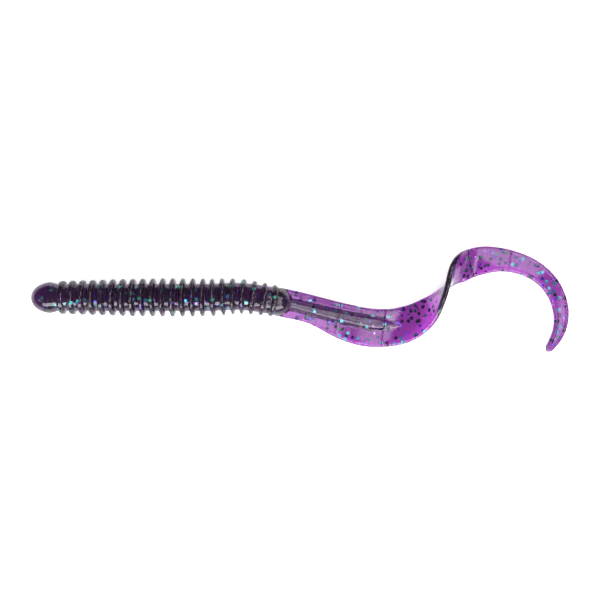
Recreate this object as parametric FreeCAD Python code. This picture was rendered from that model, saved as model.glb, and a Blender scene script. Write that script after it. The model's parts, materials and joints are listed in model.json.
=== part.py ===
"""Ribbed curly-tail soft plastic worm, 6 in (152 mm) long when pulled straight.

The worm lies on a flat surface, nose towards -X, +Z up.  It is one soft moulding with two sizes of
hexagonal foil flake cast into it.  The moulding bends along its whole length, so it is built as a
chain of sections that turn on knuckles: balls in the grooves between the ribs of the round body,
and half-round ends across the flat ribbon tail.

The spine starts at the nose tip, runs down the ribbed body and then follows the tail stations.
Distances "at" are measured along it from the nose tip, and "behind" from the tail root.
Millimetres throughout.  The origin is moved at the end to the bottom centre of the whole worm.
"""
import FreeCAD, Part
import math
import os
import random
from collections import namedtuple

from FreeCAD import Vector

# ---- body ----
CORE_R = 3.3             # radius between the ribs
NOSE_R = 3.75            # widest radius of the smooth nose
NOSE_ROUND = 4.8         # length of its round end
NOSE_FACE_R = 0.8        # flat at the nose tip, where the sprue is trimmed
RIB_COUNT = 22
RIB_PITCH = 2.38
FIRST_RIB_AT = 7.55
RIB_R_FRONT = 4.0        # rib radius behind the nose,
RIB_R_MIDDLE = 4.65      # at the thickest rib
RIB_R_REAR = 3.85        # and at the last rib
THICKEST_RIB = 13
RIB_WIDTH_FRONT = 1.6
RIB_WIDTH_REAR = 1.15
RIB_ROUNDING = 0.35      # height of the rounded crest
RIBS_PER_SECTION = 3
BODY_JOINTS = 6          # the section behind the last one carries the remaining ribs
DOME_LENGTH = 3.6        # round end of the body, behind the tail root
ROOT_BEHIND_LAST_RIB = 0.95

# ---- ribbon tail ----
WEB_THICK_ROOT = 1.5
WEB_THICK_TIP = 1.0
WEB_OVERLAP = 1.5        # how far the ribbon runs into the round body
TIP_ROUND = 1.3          # rounded end of the ribbon
KEEL_LENGTH = 30.5       # ridge down the middle of both faces
KEEL_POINT = 7.5         # its pointed end
KEEL_HALF_WIDTH = (1.4, 1.9)     # at the tail root and where the point starts
KEEL_HEIGHT = (1.5, 0.85)        # above the ribbon's face, at the same places
SECTION_STEP = 2.2       # spacing of the cross-sections along the ribbon

# ---- joints ----
KNUCKLE_SUNK = 0.04      # knuckle radius below the surface it sits in
KNUCKLE_CLEARANCE = 0.11 # radial gap between a knuckle and its socket
BODY_FLEX = 11           # degrees either way
TAIL_JOINTS_BEHIND = (9.5, 20.5, 32.0, 40.5, 49.0, 58.0, 68.5, 79.5)
TAIL_FLEX = (18, 22, 28, 28, 28, 30, 30, 30)

# ---- foil flakes, across the flats ----
GREEN_FLAKE = 0.89       # 0.035 in hexagons
GREEN_FLAKE_THICK = 0.10
BLUE_FLAKE = 0.50        # 0.020 in hexagons
BLUE_FLAKE_THICK = 0.08
FLAKE_DEPTH = 0.62       # of a flake's centre under the round body's surface
FLAKE_LEVEL = 0.26       # its height off the ribbon's middle, as a share of the thickness
FLAKE_TILT = 16          # degrees out of the surface
FLAKE_GAP = 0.05
FLAKE_SEED = 35

# x and y are measured from the tail root.  near is the ribbon's width on the +Y side of the spine
# while roll is 0, and far its width on the other side.  roll turns it about the spine in degrees,
# and lift raises its lowest edge off the surface that the worm lies on.
Station = namedtuple("Station", "x y near far roll lift")
TAIL_STATIONS = (
    Station(0.0, 0.0, 3.4, 3.4, 0, 3.35),
    Station(3.6, -0.8, 3.5, 3.4, 0, 2.6),
    Station(8.9, -2.1, 3.5, 3.5, 0, 1.95),
    Station(12.9, -3.1, 3.45, 4.6, 0, 1.6),
    Station(17.0, -4.0, 3.4, 5.6, 0, 1.3),
    Station(22.4, -5.0, 3.4, 6.0, 0, 1.0),
    Station(26.3, -5.6, 3.9, 5.5, 0, 0.55),
    Station(29.9, -5.8, 4.5, 4.6, -2, 0.25),
    Station(34.4, -3.9, 4.1, 3.75, -16, 0.1),
    Station(37.9, -0.3, 3.5, 3.5, -61, 0.05),
    Station(41.2, 4.6, 3.7, 3.7, -106, 0.05),
    Station(44.0, 7.9, 3.9, 3.8, -145, 0.1),
    Station(47.2, 9.4, 3.5, 3.5, -174, 0.1),
    Station(50.0, 10.0, 3.4, 3.4, -186, 0.1),
    Station(54.0, 10.1, 3.0, 3.0, -188, 0.05),
    Station(58.8, 9.1, 2.65, 2.65, -187, 0.05),
    Station(62.6, 7.3, 2.45, 2.45, -186, 0.05),
    Station(65.8, 4.5, 2.3, 2.3, -185, 0.05),
    Station(67.8, 1.2, 2.15, 2.15, -184, 0.05),
    Station(68.75, -2.3, 2.0, 2.0, -183, 0.05),
    Station(68.6, -6.1, 1.7, 1.7, -182, 0.05),
    Station(67.3, -9.4, 1.35, 1.35, -181, 0.05),
    Station(65.4, -12.1, 0.9, 0.9, -180, 0.05),
)
# Slight sideways bow of the body in front of the root, as x and y from the nose tip's line.
BODY_BOW = ((-9.0, 0.25), (-3.6, -0.35))
ROOT_OFFSET = -0.95      # y of the tail root from that line

AXIS_Z = RIB_R_MIDDLE
LAST_RIB_AT = FIRST_RIB_AT + RIB_PITCH * (RIB_COUNT - 1)
ROOT_X = LAST_RIB_AT + ROOT_BEHIND_LAST_RIB
BODY_JOINTS_AT = [
    FIRST_RIB_AT + RIB_PITCH * (RIBS_PER_SECTION * k - 0.5) for k in range(1, BODY_JOINTS + 1)
]
STRAIGHT_TO = BODY_JOINTS_AT[-2]     # the bow starts behind this joint
PLAN_LEAD = 2.0                      # straight run that gives the plan curve its first direction


def natural_spline(knots, values):
    """The natural cubic through the values, as a function."""
    n = len(knots)
    upper, right = [0.0] * n, [0.0] * n
    for i in range(1, n - 1):
        before, after = knots[i] - knots[i - 1], knots[i + 1] - knots[i]
        slope = (values[i + 1] - values[i]) / after - (values[i] - values[i - 1]) / before
        pivot = 2 * (before + after) - before * upper[i - 1]
        upper[i] = after / pivot
        right[i] = (6 * slope - before * right[i - 1]) / pivot
    bend = [0.0] * n
    for i in range(n - 2, 0, -1):
        bend[i] = right[i] - upper[i] * bend[i + 1]

    def read(t):
        t = min(max(t, knots[0]), knots[-1])
        i = max(j for j in range(n - 1) if knots[j] <= t)
        span = knots[i + 1] - knots[i]
        a, b = (knots[i + 1] - t) / span, (t - knots[i]) / span
        cubic = ((a ** 3 - a) * bend[i] + (b ** 3 - b) * bend[i + 1]) * span * span / 6
        return a * values[i] + b * values[i + 1] + cubic

    return read


def running_length(points):
    """Distance along a list of (x, y) points."""
    total = [0.0]
    for (x0, y0), (x1, y1) in zip(points, points[1:]):
        total.append(total[-1] + math.hypot(x1 - x0, y1 - y0))
    return total


PLAN = [(STRAIGHT_TO - PLAN_LEAD, 0.0), (STRAIGHT_TO, 0.0)]
PLAN += [(ROOT_X + x, y) for x, y in BODY_BOW]
PLAN += [(ROOT_X + s.x, ROOT_OFFSET + s.y) for s in TAIL_STATIONS]
PLAN_AT = [STRAIGHT_TO - PLAN_LEAD + d for d in running_length(PLAN)]
TAIL_AT = PLAN_AT[-len(TAIL_STATIONS):]
ROOT, SPINE_END = TAIL_AT[0], TAIL_AT[-1]


def along(pair, share):
    """Value between the two of a pair."""
    return pair[0] + (pair[1] - pair[0]) * min(max(share, 0.0), 1.0)


def web_thickness(at):
    """Ribbon thickness."""
    return along((WEB_THICK_ROOT, WEB_THICK_TIP), (at - ROOT) / (SPINE_END - ROOT))


def resting_height(station, at):
    """Spine height that puts the ribbon's lowest edge at its lift."""
    roll = math.radians(station.roll)
    low_side = station.far if math.sin(roll) > 0 else station.near
    return station.lift + low_side * abs(math.sin(roll)) + web_thickness(at) / 2 * abs(math.cos(roll))


HEIGHTS = [AXIS_Z] * (len(PLAN) - len(TAIL_STATIONS))
HEIGHTS += [resting_height(s, at) for s, at in zip(TAIL_STATIONS, TAIL_AT)]
spine_x = natural_spline(PLAN_AT, [x for x, _ in PLAN])
spine_y = natural_spline(PLAN_AT, [y for _, y in PLAN])
spine_z = natural_spline(PLAN_AT, HEIGHTS)
near_width = natural_spline(TAIL_AT, [s.near for s in TAIL_STATIONS])
far_width = natural_spline(TAIL_AT, [s.far for s in TAIL_STATIONS])
ribbon_roll = natural_spline(TAIL_AT, [s.roll for s in TAIL_STATIONS])


def spine_point(at):
    """Point of the spine."""
    if at <= STRAIGHT_TO - PLAN_LEAD:
        return Vector(at, 0, AXIS_Z)
    return Vector(spine_x(at), spine_y(at), spine_z(at))


def spine_frame(at):
    """Point, tangent, width direction and face normal of the spine."""
    step = 0.05
    tangent = spine_point(min(at + step, SPINE_END)) - spine_point(max(at - step, 0.0))
    tangent.normalize()
    level = Vector(0, 0, 1).cross(tangent).normalize()
    upright = tangent.cross(level)
    roll = math.radians(ribbon_roll(at))
    width = level * math.cos(roll) + upright * math.sin(roll)
    return spine_point(at), tangent, width, tangent.cross(width)


def local_placement(at):
    """Placement with X along the spine, Y across the ribbon and Z out of its face."""
    point, tangent, width, normal = spine_frame(at)
    return FreeCAD.Placement(point, FreeCAD.Rotation(tangent, width, normal, "XZY"))


def keel_size(at):
    """Half width and half height of the keel, closing to a point at its end."""
    point_from = KEEL_LENGTH - KEEL_POINT
    share = (at - ROOT) / point_from
    closing = math.cos(math.pi / 2 * min(max((at - ROOT - point_from) / KEEL_POINT, 0.0), 0.95))
    half_width = along(KEEL_HALF_WIDTH, share) * closing
    return half_width, along(KEEL_HEIGHT, share) * closing + web_thickness(at) / 2


def steps(start, end, step):
    """Evenly spaced distances from start to end."""
    count = max(3, math.ceil((end - start) / step) + 1)
    return [start + (end - start) * i / (count - 1) for i in range(count)]


def tip_share(at):
    """Narrows the ribbon to a round end over its last TIP_ROUND."""
    from_round = max(at - (SPINE_END - TIP_ROUND), 0.0) / TIP_ROUND
    return math.sqrt(max(1 - from_round ** 2, 0.12))


def web_wire(at):
    """Cross-section of the ribbon: flat faces with round edges."""
    point, _, width, normal = spine_frame(at)
    half_thick = web_thickness(at) / 2
    near, far = near_width(at) * tip_share(at), far_width(at) * tip_share(at)
    rounding = min(half_thick, 0.8 * near, 0.8 * far)

    def corner(across, up):
        return point + width * across + normal * up

    a, b = corner(near - rounding, half_thick), corner(near - rounding, -half_thick)
    c, d = corner(rounding - far, -half_thick), corner(rounding - far, half_thick)
    edges = [
        Part.Arc(a, corner(near, 0), b).toShape(),
        Part.LineSegment(b, c).toShape(),
        Part.Arc(c, corner(-far, 0), d).toShape(),
        Part.LineSegment(d, a).toShape(),
    ]
    return Part.Wire(edges)


def circle_wire(at):
    """Outline of the round core, its seam always on the same side."""
    circle = Part.makeCircle(CORE_R, Vector(0, 0, 0), Vector(1, 0, 0))
    circle.Placement = local_placement(at)
    return Part.Wire([circle])


def oval_wire(at, half_width, half_height):
    """Closed oval square to the spine."""
    point, _, width, normal = spine_frame(at)
    turns = [2 * math.pi * k / 12 for k in range(12)]
    curve = Part.BSplineCurve()
    curve.interpolate(
        [point + width * half_width * math.cos(t) + normal * half_height * math.sin(t) for t in turns],
        PeriodicFlag=True,
    )
    return Part.Wire([curve.toShape()])


def web_solid(start, end):
    """Ribbon between two distances."""
    if end < SPINE_END:
        places = steps(start, end, SECTION_STEP)
    else:
        places = steps(start, SPINE_END - TIP_ROUND, SECTION_STEP)
        places += [SPINE_END - TIP_ROUND * left for left in (0.5, 0.15, 0.0)]
    return Part.makeLoft([web_wire(at) for at in places], True, False)


def keel_solid(start, end):
    """Keel between two distances."""
    places = steps(start, min(end, ROOT + KEEL_LENGTH), SECTION_STEP)
    return Part.makeLoft([oval_wire(at, *keel_size(at)) for at in places], True, False)


def core_solid(start, end):
    """Round core of the ribbed body between two distances."""
    if end <= STRAIGHT_TO:
        return Part.makeCylinder(CORE_R, end - start, spine_point(start), Vector(1, 0, 0))
    return Part.makeLoft([circle_wire(at) for at in steps(start, end, SECTION_STEP)], True, False)


def revolved(edges):
    """Solid of revolution about the X axis of a closed outline in the XZ plane."""
    turned = Part.Face(Part.Wire(edges)).revolve(Vector(0, 0, 0), Vector(1, 0, 0), 360)
    return Part.Solid(turned.Shells[0])


def polyline(*corners):
    """Straight edges through (x, radius) corners."""
    points = [Vector(x, 0, r) for x, r in corners]
    return [Part.LineSegment(p, q).toShape() for p, q in zip(points, points[1:])]


def quarter_ellipse(centre_x, length, radius, from_radius):
    """Edge that swells from from_radius, in front, to radius at centre_x."""
    first, last = math.asin(from_radius / radius), math.pi / 2
    turns = [first + (last - first) * k / 4 for k in range(5)]
    curve = Part.BSplineCurve()
    curve.interpolate([Vector(centre_x - length * math.cos(t), 0, radius * math.sin(t)) for t in turns])
    return curve.toShape()


def nose_solid():
    """Blunt round nose with a small flat tip, tapering to the first groove."""
    groove = FIRST_RIB_AT - RIB_PITCH / 2
    reach = NOSE_ROUND * math.cos(math.asin(NOSE_FACE_R / NOSE_R))
    rounded = quarter_ellipse(reach, NOSE_ROUND, NOSE_R, NOSE_FACE_R)
    flat = polyline((0, 0), (0, NOSE_FACE_R))
    back = polyline((reach, NOSE_R), (groove, CORE_R), (groove, 0), (0, 0))
    return revolved(flat + [rounded] + back).translated(Vector(0, 0, AXIS_Z))


def dome_solid():
    """Round end of the body, butted against the core at the tail root."""
    rounded = quarter_ellipse(0, DOME_LENGTH, CORE_R, 0.0)
    dome = revolved([rounded] + polyline((0, CORE_R), (0, 0), (-DOME_LENGTH, 0)))
    turned_back = FreeCAD.Placement(Vector(0, 0, 0), FreeCAD.Rotation(Vector(0, 0, 1), 180))
    dome.Placement = local_placement(ROOT).multiply(turned_back)
    return dome


def rib_radius(number):
    """Rib radius, eased up to THICKEST_RIB and down behind it."""
    if number <= THICKEST_RIB:
        end_radius, share = RIB_R_FRONT, (number - 1) / (THICKEST_RIB - 1)
    else:
        end_radius, share = RIB_R_REAR, (RIB_COUNT - number) / (RIB_COUNT - THICKEST_RIB)
    return along((end_radius, RIB_R_MIDDLE), math.sin(math.pi / 2 * share))


def rib_solid(number):
    """One rib: a ring with a rounded crest, sunk into the core."""
    radius = rib_radius(number)
    side = along((RIB_WIDTH_FRONT, RIB_WIDTH_REAR), (number - 1) / (RIB_COUNT - 1)) / 2
    shoulder = radius - min(RIB_ROUNDING, (radius - CORE_R) * 0.7)
    sunk = CORE_R * 0.8
    sides = polyline((-side, shoulder), (-side, sunk), (side, sunk), (side, shoulder))
    crest = Part.Arc(Vector(side, 0, shoulder), Vector(0, 0, radius), Vector(-side, 0, shoulder))
    ring = revolved(sides + [crest.toShape()])
    point, tangent, _, _ = spine_frame(FIRST_RIB_AT + RIB_PITCH * (number - 1))
    ring.Placement = FreeCAD.Placement(point, FreeCAD.Rotation(Vector(1, 0, 0), tangent))
    return ring


def knuckle_radius(at):
    """Half the moulding's height at a joint."""
    if at < ROOT:
        return CORE_R
    return keel_size(at)[1] if at < ROOT + KEEL_LENGTH else web_thickness(at) / 2


def knuckle(at, grow):
    """Ball in the round body, or a bar right across the ribbon, on a joint's axis."""
    if at < ROOT:
        return Part.makeSphere(knuckle_radius(at) + grow, spine_point(at))
    length = 2 * (near_width(at) + far_width(at))
    bar = Part.makeCylinder(knuckle_radius(at) + grow, length, Vector(0, -length / 2, 0), Vector(0, 1, 0))
    bar.Placement = local_placement(at)
    return bar


def beyond_knuckle(at):
    """Everything behind a joint except its knuckle."""
    deep, wide = 2 * CORE_R + 2, 6 * CORE_R
    block = Part.makeBox(deep, wide, wide, Vector(0, -wide / 2, -wide / 2))
    block.Placement = local_placement(at)
    return block.cut(knuckle(at, -KNUCKLE_SUNK))


def one_solid(shape, name):
    """The single solid of a shape, or a plain message."""
    shape = shape.removeSplitter()
    if len(shape.Solids) != 1:
        raise ValueError(f"{name} came out as {len(shape.Solids)} solids")
    return shape.Solids[0]


def section(name, start, end):
    """One section of the moulding, with a socket at its front and a knuckle at its rear."""
    is_nose, is_tip = start == 0, end == SPINE_END
    reach = end if is_tip else end + knuckle_radius(end)
    pieces = [nose_solid()] if is_nose else []
    if start < ROOT:
        core_from = FIRST_RIB_AT - RIB_PITCH / 2 if is_nose else start
        pieces.append(core_solid(core_from, min(reach, ROOT)))
    if start < ROOT < end:
        pieces.append(dome_solid())
    if end > ROOT:
        pieces.append(web_solid(max(start, ROOT - WEB_OVERLAP), reach))
        if start < ROOT + KEEL_LENGTH:
            pieces.append(keel_solid(max(start, ROOT), reach))
    pieces += [rib_solid(n) for n in ribs_between(start, end)]
    shape = pieces[0].fuse(pieces[1:]) if len(pieces) > 1 else pieces[0]
    if not is_tip:
        shape = shape.cut(beyond_knuckle(end))
    if not is_nose:
        shape = shape.cut(knuckle(start, KNUCKLE_CLEARANCE - KNUCKLE_SUNK))
    return one_solid(shape, name)


def ribs_between(start, end):
    """Numbers of the ribs between two distances."""
    return [n for n in range(1, RIB_COUNT + 1) if start < FIRST_RIB_AT + RIB_PITCH * (n - 1) < end]


def joint_axis(at):
    """Body joints turn about Z and Y in turn, and tail joints about the ribbon's width."""
    if at > ROOT:
        return spine_frame(at)[2]
    return Vector(0, 0, 1) if BODY_JOINTS_AT.index(at) % 2 == 0 else Vector(0, 1, 0)


# ---- flakes ----
def flake(centre, face_normal, direction, across_flats, thick):
    """Hexagonal foil flake."""
    other = face_normal.cross(direction).normalize()
    first = other.cross(face_normal).normalize()
    reach = across_flats / math.sqrt(3)
    low = centre - face_normal * (thick / 2)
    turns = [math.pi * k / 3 for k in range(6)]
    corners = [low + (first * math.cos(t) + other * math.sin(t)) * reach for t in turns]
    return Part.Face(Part.makePolygon(corners + corners[:1])).extrude(face_normal * thick)


def tilted(normal, direction, draw):
    """The normal leaned up to FLAKE_TILT in a random direction."""
    lean, turn = math.radians(draw.uniform(0, FLAKE_TILT)), draw.uniform(0, 2 * math.pi)
    side = direction * math.cos(turn) + normal.cross(direction) * math.sin(turn)
    return (normal * math.cos(lean) + side * math.sin(lean)).normalize()


def place_in_core(start, end, across, draw):
    """Centre, normal and direction of a flake under the round body's surface, clear of its socket."""
    depth = CORE_R - FLAKE_DEPTH
    socket = math.sqrt((CORE_R + KNUCKLE_CLEARANCE) ** 2 - depth ** 2)
    first = start + socket + across if start > 0 else NOSE_ROUND * 0.7
    point, tangent, width, normal = spine_frame(draw.uniform(first, min(end, ROOT) - across * 0.7))
    turn = draw.uniform(0, 2 * math.pi)
    out = width * math.cos(turn) + normal * math.sin(turn)
    return point + out * depth, out, tangent


def place_in_web(start, end, across, draw):
    """Centre, normal and direction of a flake under either face of the ribbon."""
    first = max(start, ROOT + DOME_LENGTH) + knuckle_radius(max(start, ROOT + DOME_LENGTH)) + across
    last = end - across * 0.7 if end < SPINE_END else SPINE_END - TIP_ROUND - across
    at = draw.uniform(first, last)
    point, tangent, width, normal = spine_frame(at)
    edge = across * 0.6 + web_thickness(at) * 0.35
    across_at = draw.uniform(edge - far_width(at), near_width(at) - edge)
    side = draw.choice((-1, 1))
    centre = point + width * across_at + normal * (side * FLAKE_LEVEL * web_thickness(at))
    return centre, normal * side, tangent


def flakes(start, end, count, across, thick, taken, draw):
    """Scattered flakes that touch neither each other nor those already taken."""
    solids = []
    while len(solids) < count:
        in_core = start < ROOT and (end < ROOT or draw.random() < 0.5)
        place = place_in_core if in_core else place_in_web
        centre, normal, direction = place(start, end, across, draw)
        room = across * 0.6
        if all((centre - other).Length > room + other_room + FLAKE_GAP for other, other_room in taken):
            taken.append((centre, room))
            solids.append(flake(centre, tilted(normal, direction, draw), direction, across, thick))
    return Part.makeCompound(solids)


# ---- the chain ----
NAMES = ["nose"] + [f"rib_section_{k}" for k in range(1, BODY_JOINTS)] + [
    "tail_root", "keel_front", "keel_rear", "ribbon_wide", "twist_lower", "twist_upper",
    "curl_front", "curl_rear", "tail_tip",
]
JOINTS_AT = BODY_JOINTS_AT + [ROOT + behind for behind in TAIL_JOINTS_BEHIND]
FLEX = [BODY_FLEX] * BODY_JOINTS + list(TAIL_FLEX)
SPANS = list(zip([0.0] + JOINTS_AT, JOINTS_AT + [SPINE_END]))
GREEN_COUNT, BLUE_COUNT = 7, 6       # in each section


def build():
    """All nodes by name, before the move to the frame's origin."""
    nodes = {}
    draw = random.Random(FLAKE_SEED)
    for name, (start, end) in zip(NAMES, SPANS):
        taken = []
        nodes[name] = section(name, start, end)
        nodes[f"green_flakes_{name}"] = flakes(
            start, end, GREEN_COUNT, GREEN_FLAKE, GREEN_FLAKE_THICK, taken, draw)
        nodes[f"blue_flakes_{name}"] = flakes(
            start, end, BLUE_COUNT, BLUE_FLAKE, BLUE_FLAKE_THICK, taken, draw)
    return nodes


def to_bottom_centre(nodes):
    """Move that puts the origin at the bottom centre of everything."""
    box = Part.makeCompound([nodes[name] for name in NAMES]).optimalBoundingBox(False)
    return Vector(-(box.XMin + box.XMax) / 2, -(box.YMin + box.YMax) / 2, -box.ZMin)


NODES = build()
SHIFT = to_bottom_centre(NODES)
os.makedirs("parts", exist_ok=True)
for node, shape in NODES.items():
    shape.translated(SHIFT).exportStep(f"parts/{node}.step")
JOINTS = [
    (front, rear, spine_point(at) + SHIFT, joint_axis(at), flex)
    for front, rear, at, flex in zip(NAMES, NAMES[1:], JOINTS_AT, FLEX)
]
print(f"{SPINE_END:.1f} mm along the spine, tail root at {ROOT:.1f}, moved by {SHIFT}")
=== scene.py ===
"""Ribbed curly-tail soft worm: the moulding, its foil flakes and the studio.

The worm is one soft moulding, so its skin is a row of closed pieces, one for each joint.
They meet half way along the sections of the frame.  Flakes of coloured foil
lie inside, just under the surface.  Distances "at" run along the spine from the nose tip.
"""
import json
import logging
import math
from collections.abc import Callable, Iterator, Sequence
from dataclasses import dataclass
from enum import Enum

import bpy
import numpy as np
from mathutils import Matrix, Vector

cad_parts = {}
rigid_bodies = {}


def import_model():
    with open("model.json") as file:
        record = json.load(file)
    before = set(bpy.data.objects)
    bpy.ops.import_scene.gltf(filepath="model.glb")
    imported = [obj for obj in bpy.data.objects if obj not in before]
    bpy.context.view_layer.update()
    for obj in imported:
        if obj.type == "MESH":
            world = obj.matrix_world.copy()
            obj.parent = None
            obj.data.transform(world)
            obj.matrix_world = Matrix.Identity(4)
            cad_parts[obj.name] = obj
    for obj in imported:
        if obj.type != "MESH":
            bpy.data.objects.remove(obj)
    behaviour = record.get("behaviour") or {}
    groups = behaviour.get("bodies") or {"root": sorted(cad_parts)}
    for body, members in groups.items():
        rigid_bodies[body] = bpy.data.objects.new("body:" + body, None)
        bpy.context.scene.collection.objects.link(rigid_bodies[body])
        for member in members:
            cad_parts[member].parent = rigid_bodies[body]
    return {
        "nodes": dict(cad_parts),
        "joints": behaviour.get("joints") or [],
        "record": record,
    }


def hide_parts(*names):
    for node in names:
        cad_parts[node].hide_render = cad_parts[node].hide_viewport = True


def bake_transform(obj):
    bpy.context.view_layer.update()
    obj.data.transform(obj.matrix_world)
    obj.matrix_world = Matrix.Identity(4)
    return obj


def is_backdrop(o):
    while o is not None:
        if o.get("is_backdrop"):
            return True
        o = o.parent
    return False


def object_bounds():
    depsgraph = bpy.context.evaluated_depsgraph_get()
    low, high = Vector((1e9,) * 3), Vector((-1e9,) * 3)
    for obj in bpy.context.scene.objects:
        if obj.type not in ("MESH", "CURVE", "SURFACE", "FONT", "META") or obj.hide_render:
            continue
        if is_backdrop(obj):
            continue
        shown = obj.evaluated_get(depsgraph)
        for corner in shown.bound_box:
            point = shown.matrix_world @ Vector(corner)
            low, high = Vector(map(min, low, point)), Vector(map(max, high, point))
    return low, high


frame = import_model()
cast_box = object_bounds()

LOG = logging.getLogger("worm")
MM = 0.001
CM = 0.01
CAP_MASK = "outer_skin"      # 1 on the skin, 0 on the faces where two pieces meet
FLAKE_TONE = "flake_tone"    # one random number for each flake

Points = np.ndarray
Tree = bpy.types.NodeTree
Socket = bpy.types.NodeSocket


# ---- node trees ----
@dataclass(frozen=True)
class Field:
    """A value in a node tree that takes part in arithmetic."""

    tree: Tree
    socket: Socket

    def math(self, operation: str, *others: "Field | float") -> "Field":
        """Adds a Math node.

        Args:
            operation: the node's operation.
            others: what goes in after this value.

        Returns:
            The node's result.
        """
        node = self.tree.nodes.new("ShaderNodeMath")
        node.operation = operation
        for place, value in zip(node.inputs, (self, *others)):
            feed(self.tree, place, value)
        return Field(self.tree, node.outputs[0])

    def __add__(self, other: "Field | float") -> "Field":
        """Sum."""
        return self.math("ADD", other)

    def __sub__(self, other: "Field | float") -> "Field":
        """Difference."""
        return self.math("SUBTRACT", other)

    def __mul__(self, other: "Field | float") -> "Field":
        """Product."""
        return self.math("MULTIPLY", other)

    def __truediv__(self, other: "Field | float") -> "Field":
        """Quotient."""
        return self.math("DIVIDE", other)

    def __pow__(self, other: "Field | float") -> "Field":
        """Power."""
        return self.math("POWER", other)

    def between(self, low: "Field | float", high: "Field | float") -> "Field":
        """Held between low and high."""
        return self.math("MAXIMUM", low).math("MINIMUM", high)


def feed(tree: Tree, place: Socket, value: "Field | Socket | float | Sequence[float]") -> None:
    """Links a value to a socket, or sets it there.

    Args:
        tree: the tree that holds the socket.
        place: the socket that takes the value.
        value: a field, a socket or a plain value.
    """
    if isinstance(value, Field):
        tree.links.new(value.socket, place)
    elif isinstance(value, bpy.types.NodeSocket):
        tree.links.new(value, place)
    else:
        place.default_value = value


def add_node(
    tree: Tree, kind: str, settings: dict[str, object] | None = None, **inputs: object
) -> bpy.types.Node:
    """Adds a node.

    Args:
        tree: the tree it goes in.
        kind: its type.
        settings: properties of the node, set before its inputs.
        inputs: values for its sockets, by name with underscores for spaces.

    Returns:
        The node.
    """
    node = tree.nodes.new(kind)
    for name, value in (settings or {}).items():
        setattr(node, name, value)
    for name, value in inputs.items():
        feed(tree, node.inputs[name.replace("_", " ")], value)
    return node


class NodeGroupMaker:
    """Starts a node group with named inputs and outputs."""

    def __init__(self, name: str, kind: str, inputs: dict[str, str], outputs: dict[str, str]) -> None:
        """Makes the group.

        Args:
            name: its name.
            kind: GeometryNodeTree or ShaderNodeTree.
            inputs: what each named input holds, such as Float.
            outputs: what each named output holds.
        """
        self.tree = bpy.data.node_groups.new(name, kind)
        for side, sockets in (("INPUT", inputs), ("OUTPUT", outputs)):
            for title, value in sockets.items():
                self.tree.interface.new_socket(title, in_out=side, socket_type=f"NodeSocket{value}")
        self.entry = self.tree.nodes.new("NodeGroupInput")
        self.exit = self.tree.nodes.new("NodeGroupOutput")

    def value(self, title: str) -> Field:
        """The input of that name as a field."""
        return Field(self.tree, self.entry.outputs[title])

    def give(self, **results: Field | Socket) -> None:
        """Links results to the outputs, by name with underscores for spaces."""
        for title, result in results.items():
            feed(self.tree, self.exit.inputs[title.replace("_", " ")], result)


def run_modifier(holder: bpy.types.Object, tree: Tree, values: dict[str, object]) -> bpy.types.Mesh:
    """Runs a geometry tree on an object and takes its result as a plain mesh.

    Args:
        holder: object with the tree's input geometry, removed afterwards.
        tree: the tree.
        values: the modifier's inputs by name.

    Returns:
        The result.
    """
    modifier = holder.modifiers.new(tree.name, "NODES")
    modifier.node_group = tree
    sockets = {item.name: item.identifier
               for item in tree.interface.items_tree if item.in_out == "INPUT"}
    for title, value in values.items():
        modifier[sockets[title]] = value
    bpy.context.scene.collection.objects.link(holder)
    graph = bpy.context.evaluated_depsgraph_get()
    mesh = bpy.data.meshes.new_from_object(
        holder.evaluated_get(graph), preserve_all_data_layers=True, depsgraph=graph)
    holder.modifiers.clear()
    bpy.data.objects.remove(holder)
    return mesh


def add_object(name: str, data: bpy.types.ID) -> bpy.types.Object:
    """Adds an object to the scene, at the origin."""
    holder = bpy.data.objects.new(name, data)
    bpy.context.scene.collection.objects.link(holder)
    return holder


def place_piece(name: str, mesh: bpy.types.Mesh) -> bpy.types.Object:
    """Adds a finished mesh to the scene under its piece's name."""
    mesh.name = name
    return add_object(name, mesh)


def noise(tree: Tree, scale: float, detail: float) -> Field:
    """Noise of a scale and detail, along an object's own coordinates."""
    where = add_node(tree, "ShaderNodeTexCoord")
    node = add_node(tree, "ShaderNodeTexNoise", Vector=where.outputs["Object"], Scale=scale,
                    Detail=detail)
    return Field(tree, node.outputs["Fac"])


def mixed(tree: Tree, share: Field, *colours: Field | Sequence[float]) -> Field:
    """The colour that lies that share of the way from one colour to another."""
    node = add_node(tree, "ShaderNodeMix", {"data_type": "RGBA"}, Factor=share)
    places = [socket for socket in node.inputs if socket.type == "RGBA"]
    for place, colour in zip(places, colours):
        feed(tree, place, colour)
    return Field(tree, next(socket for socket in node.outputs if socket.type == "RGBA"))


# ---- spine ----
def natural_cubic(knots: Points, values: Points) -> Callable[[Points], Points]:
    """The natural cubic through some values.

    Args:
        knots: rising distances.
        values: the value at each.

    Returns:
        A function from distances to values.
    """
    gaps = np.diff(knots)
    size = len(knots)
    system, right = np.eye(size), np.zeros(size)
    for i in range(1, size - 1):
        system[i, i - 1:i + 2] = gaps[i - 1], 2 * (gaps[i - 1] + gaps[i]), gaps[i]
        slopes = np.diff(values[i - 1:i + 2]) / gaps[i - 1:i + 1]
        right[i] = 6 * (slopes[1] - slopes[0])
    bend = np.linalg.solve(system, right)

    def read(at: Points) -> Points:
        """Values at some distances."""
        held = np.clip(at, knots[0], knots[-1])
        i = np.clip(np.searchsorted(knots, held, side="right") - 1, 0, size - 2)
        a = (knots[i + 1] - held) / gaps[i]
        b = 1 - a
        cubic = ((a ** 3 - a) * bend[i] + (b ** 3 - b) * bend[i + 1]) * gaps[i] ** 2 / 6
        return a * values[i] + b * values[i + 1] + cubic

    return read


@dataclass(frozen=True)
class Station:
    """One place along the tail, in millimetres from the tail root, with its roll in degrees."""

    x: float
    y: float
    near: float
    far: float
    roll: float
    lift: float


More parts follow.
